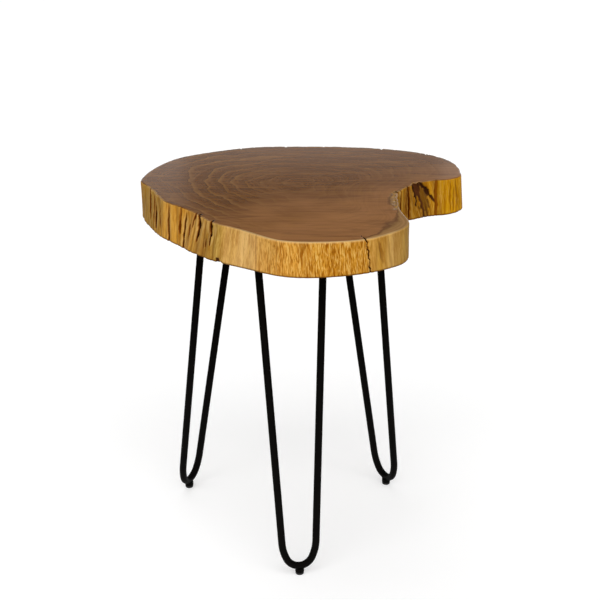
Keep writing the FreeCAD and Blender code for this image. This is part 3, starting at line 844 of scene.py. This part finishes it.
def rod_line(level, bend, across, rise):
    """Centre line of one half of the rod, from the bottom of the bend up to the plate."""
    places = [(NOSE_RADIUS * math.sin(angle), NOSE_RADIUS * (1 - math.cos(angle)))
              for angle in bend_angles(0, NOSE_TURN)]
    centre_across = (NOSE_RADIUS - FLANK_RADIUS) * math.sin(NOSE_TURN)
    centre_along = NOSE_RADIUS - (NOSE_RADIUS - FLANK_RADIUS) * math.cos(NOSE_TURN)
    for angle in bend_angles(NOSE_TURN, math.pi / 2 - ROD_SPLAY)[1:]:
        places.append((centre_across + FLANK_RADIUS * math.sin(angle),
                       centre_along - FLANK_RADIUS * math.cos(angle)))
    end_across, end_along = places[-1]
    along = (level - bend[2]) / rise[2]
    places.append((end_across + (along - end_along) * math.tan(ROD_SPLAY), along))
    return np.array([bend + across * a + rise * b for a, b in places])


def make_rod(leg, material):
    """One round bar bent double, cut flat where it meets the plate."""
    bend, across, rise, level = leg_frame(leg)
    half = rod_line(level, bend, across, rise)
    other = rod_line(level, bend, -across, rise)
    line = np.concatenate([other[:0:-1], half])
    lean = np.cross(across, rise)
    turns = np.linspace(0, 2 * math.pi, ROD_SIDES, endpoint=False)
    points = []
    for order, middle in enumerate(line):
        ahead = line[min(order + 1, len(line) - 1)] - line[max(order - 1, 0)]
        ahead /= np.linalg.norm(ahead)
        side = np.cross(lean, ahead)
        for turn in turns:
            point = middle + ROD_RADIUS * (math.cos(turn) * side + math.sin(turn) * lean)
            if order in (0, len(line) - 1):
                point = point + ahead * (level - point[2]) / ahead[2]
            points.append(point)
    faces = band_faces(len(line), ROD_SIDES)
    faces += [tuple(range(ROD_SIDES))[::-1], tuple(range(len(points) - ROD_SIDES, len(points)))]
    made = piece(leg + "_bent_rod", points, faces, [material])
    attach(made, "table")
    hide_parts(leg + "_hairpin_rod")
    return [line[0], line[-1]], [line[1] - line[0], line[-2] - line[-1]]


def make_welds(leg, ends, directions, material):
    """Rippled fillet of weld round each end of the rod, under the plate."""
    points, faces = [], []
    columns = WELD_RIPPLES * WELD_RIPPLE_STEPS
    for end, direction in zip(ends, directions):
        start = len(points)
        axis = direction / np.linalg.norm(direction)
        flat = axis - np.array([0, 0, axis[2]])
        for order in range(columns):
            turn = 2 * math.pi * order / columns
            out = np.array([math.cos(turn), math.sin(turn), 0])
            reach = ROD_RADIUS * (1 + 0.5 * (flat @ out) ** 2)
            swell = WELD_RADIUS + WELD_RIPPLE * abs(math.sin(WELD_RIPPLES * turn / 2))
            middle = end + out * reach - np.array([0, 0, WELD_RADIUS / 3])
            for side in range(WELD_SIDES):
                tilt = 2 * math.pi * side / WELD_SIDES
                points.append(middle + swell * (math.cos(tilt) * out * WELD_SQUASH
                                                + math.sin(tilt) * np.array([0, 0, WELD_SQUASH])))
        for order in range(columns):
            here = start + order * WELD_SIDES
            beside = start + (order + 1) % columns * WELD_SIDES
            for side in range(WELD_SIDES):
                above = (side + 1) % WELD_SIDES
                faces.append((here + side, here + above, beside + above, beside + side))
    points = np.array(points)
    points[:, 2] = np.minimum(points[:, 2], ends[0][2] - WELD_TO_PLATE)
    made = piece(leg + "_plate_welds", points, faces, [material])
    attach(made, "table")


def make_stud(leg, material):
    """Screw with a right-hand thread, whose flat head turns in the pad."""
    low, high = (np.array(corner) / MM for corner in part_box(leg + "_levelling_stud"))
    middle = (low + high)[:2] / 2
    head_top = low[2] + STUD_HEAD_HEIGHT
    profile = [(STUD_END_RADIUS, low[2], 0), (STUD_HEAD_RADIUS, low[2], 0),
               (STUD_HEAD_RADIUS, head_top, 0), (STUD_RADIUS - THREAD_DEPTH, head_top, 0)]
    rows = int((high[2] - STUD_CHAMFER - head_top) / THREAD_PITCH * THREAD_ROWS)
    for height in np.linspace(head_top, high[2] - STUD_CHAMFER, rows)[1:]:
        profile.append((STUD_RADIUS, height, THREAD_DEPTH))
    profile += [(STUD_RADIUS - STUD_CHAMFER, high[2], 0), (STUD_END_RADIUS, high[2], 0)]
    points = []
    for radius, height, depth in profile:
        for side in range(STUD_SIDES):
            share = (height / THREAD_PITCH - side / STUD_SIDES) % 1
            reach = radius - depth * min(1, abs(2 * share - 1) * THREAD_STEEPNESS)
            turn = 2 * math.pi * side / STUD_SIDES
            x = middle[0] + reach * math.cos(turn)
            y = middle[1] + reach * math.sin(turn)
            points.append((x, y, height))
    faces = band_faces(len(profile), STUD_SIDES)
    faces += [tuple(range(STUD_SIDES))[::-1], tuple(range(len(points) - STUD_SIDES, len(points)))]
    made = piece(leg + "_threaded_stud", points, faces, [material])
    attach(made, leg + "_stud")
    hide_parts(leg + "_levelling_stud")


def make_legs():
    coat, zinc, nylon = powder_coat(), zinc_plate(), moulded_nylon()
    finishes = {"mounting_plate": coat, "foot_boss": coat, "plate_screws": zinc, "glide_pad": nylon}
    for leg in LEGS:
        ends, directions = make_rod(leg, coat)
        make_welds(leg, ends, directions, coat)
        make_stud(leg, zinc)
        for node, material in finishes.items():
            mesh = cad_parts[leg + "_" + node].data
            mesh.materials.clear()
            mesh.materials.append(material)


# Studio

def make_camera():
    camera = bpy.data.objects.new("camera", bpy.data.cameras.new("camera"))
    camera.location = Vector(CAMERA_PLACE) * MM
    camera.rotation_euler = (math.pi / 2 - CAMERA_PITCH, 0, 0)
    camera.data.angle = CAMERA_FIELD
    bpy.context.scene.collection.objects.link(camera)
    bpy.context.scene.camera = camera


def make_floor():
    half = FLOOR_SIZE / 2
    corners = [(-half, -half, 0), (half, -half, 0), (half, half, 0), (-half, half, 0)]
    floor = piece("floor", corners, [(0, 1, 2, 3)], [studio_floor()])


def make_lamp(name, kind, place, aim, power, size, in_gloss=True):
    """Soft lamp at a place, aimed at a point. A sun's size is its angle, and a softbox's is its sides.
    One that isn't in the gloss lights the colours alone, as a lamp does through crossed polarisers."""
    lamp = bpy.data.lights.new(name, kind)
    lamp.energy = power
    if kind == "SUN":
        lamp.angle = size
    else:
        lamp.shape = "RECTANGLE"
        lamp.size, lamp.size_y = size
    holder = bpy.data.objects.new(name, lamp)
    holder.visible_glossy = in_gloss
    holder.location = place
    holder.rotation_euler = (Vector(aim) - Vector(place)).to_track_quat("-Z", "Y").to_euler()
    bpy.context.scene.collection.objects.link(holder)


def make_world():
    """Dim room in which the white sweep goes on a little way up past the floor's far edge."""
    world = bpy.data.worlds.new("studio")
    world.use_nodes = True
    tree = world.node_tree
    tree.nodes.clear()
    heading = add(tree, "SeparateXYZ", {0: add(tree, "TexCoord").outputs["Generated"]})
    low = add(tree, "MapRange", {0: heading.outputs["Z"], 1: SWEEP_RISE, 2: SWEEP_RISE + SWEEP_FADE,
                                 3: 1, 4: 0})
    white = add(tree, "Math", {0: seen_ray(tree), 1: low}, operation="MULTIPLY")
    strength = add(tree, "MapRange", {0: white, 3: ROOM_LIGHT, 4: 1})
    sky = add(tree, "Background", {"Color": linear("#ffffff"), "Strength": strength})
    add(tree, "OutputWorld", {"Surface": sky})
    bpy.context.scene.world = world


make_slab()
make_legs()
make_camera()
make_floor()
make_lamp("front_key", "SUN", (0, -3, 3.4), TABLE, 3.2, math.radians(80), in_gloss=False)
make_lamp("back_fill", "SUN", (-0.6, 1, 3.7), TABLE, 0.7, math.radians(40), in_gloss=False)
make_lamp("back_strip", "AREA", (0, 1.25, 0.78), (0, 0, 0.78), 1.2, (1.8, 0.32))
make_lamp("left_strip", "AREA", (-0.72, 1.26, 0.9), (-0.72, 0, 0.9), 0.5, (0.9, 0.5))
make_lamp("right_strip", "AREA", (0.62, 1.26, 0.83), (0.62, 0, 0.83), 0.25, (0.6, 0.4))
make_world()
bpy.context.scene.view_settings.view_transform = "Standard"
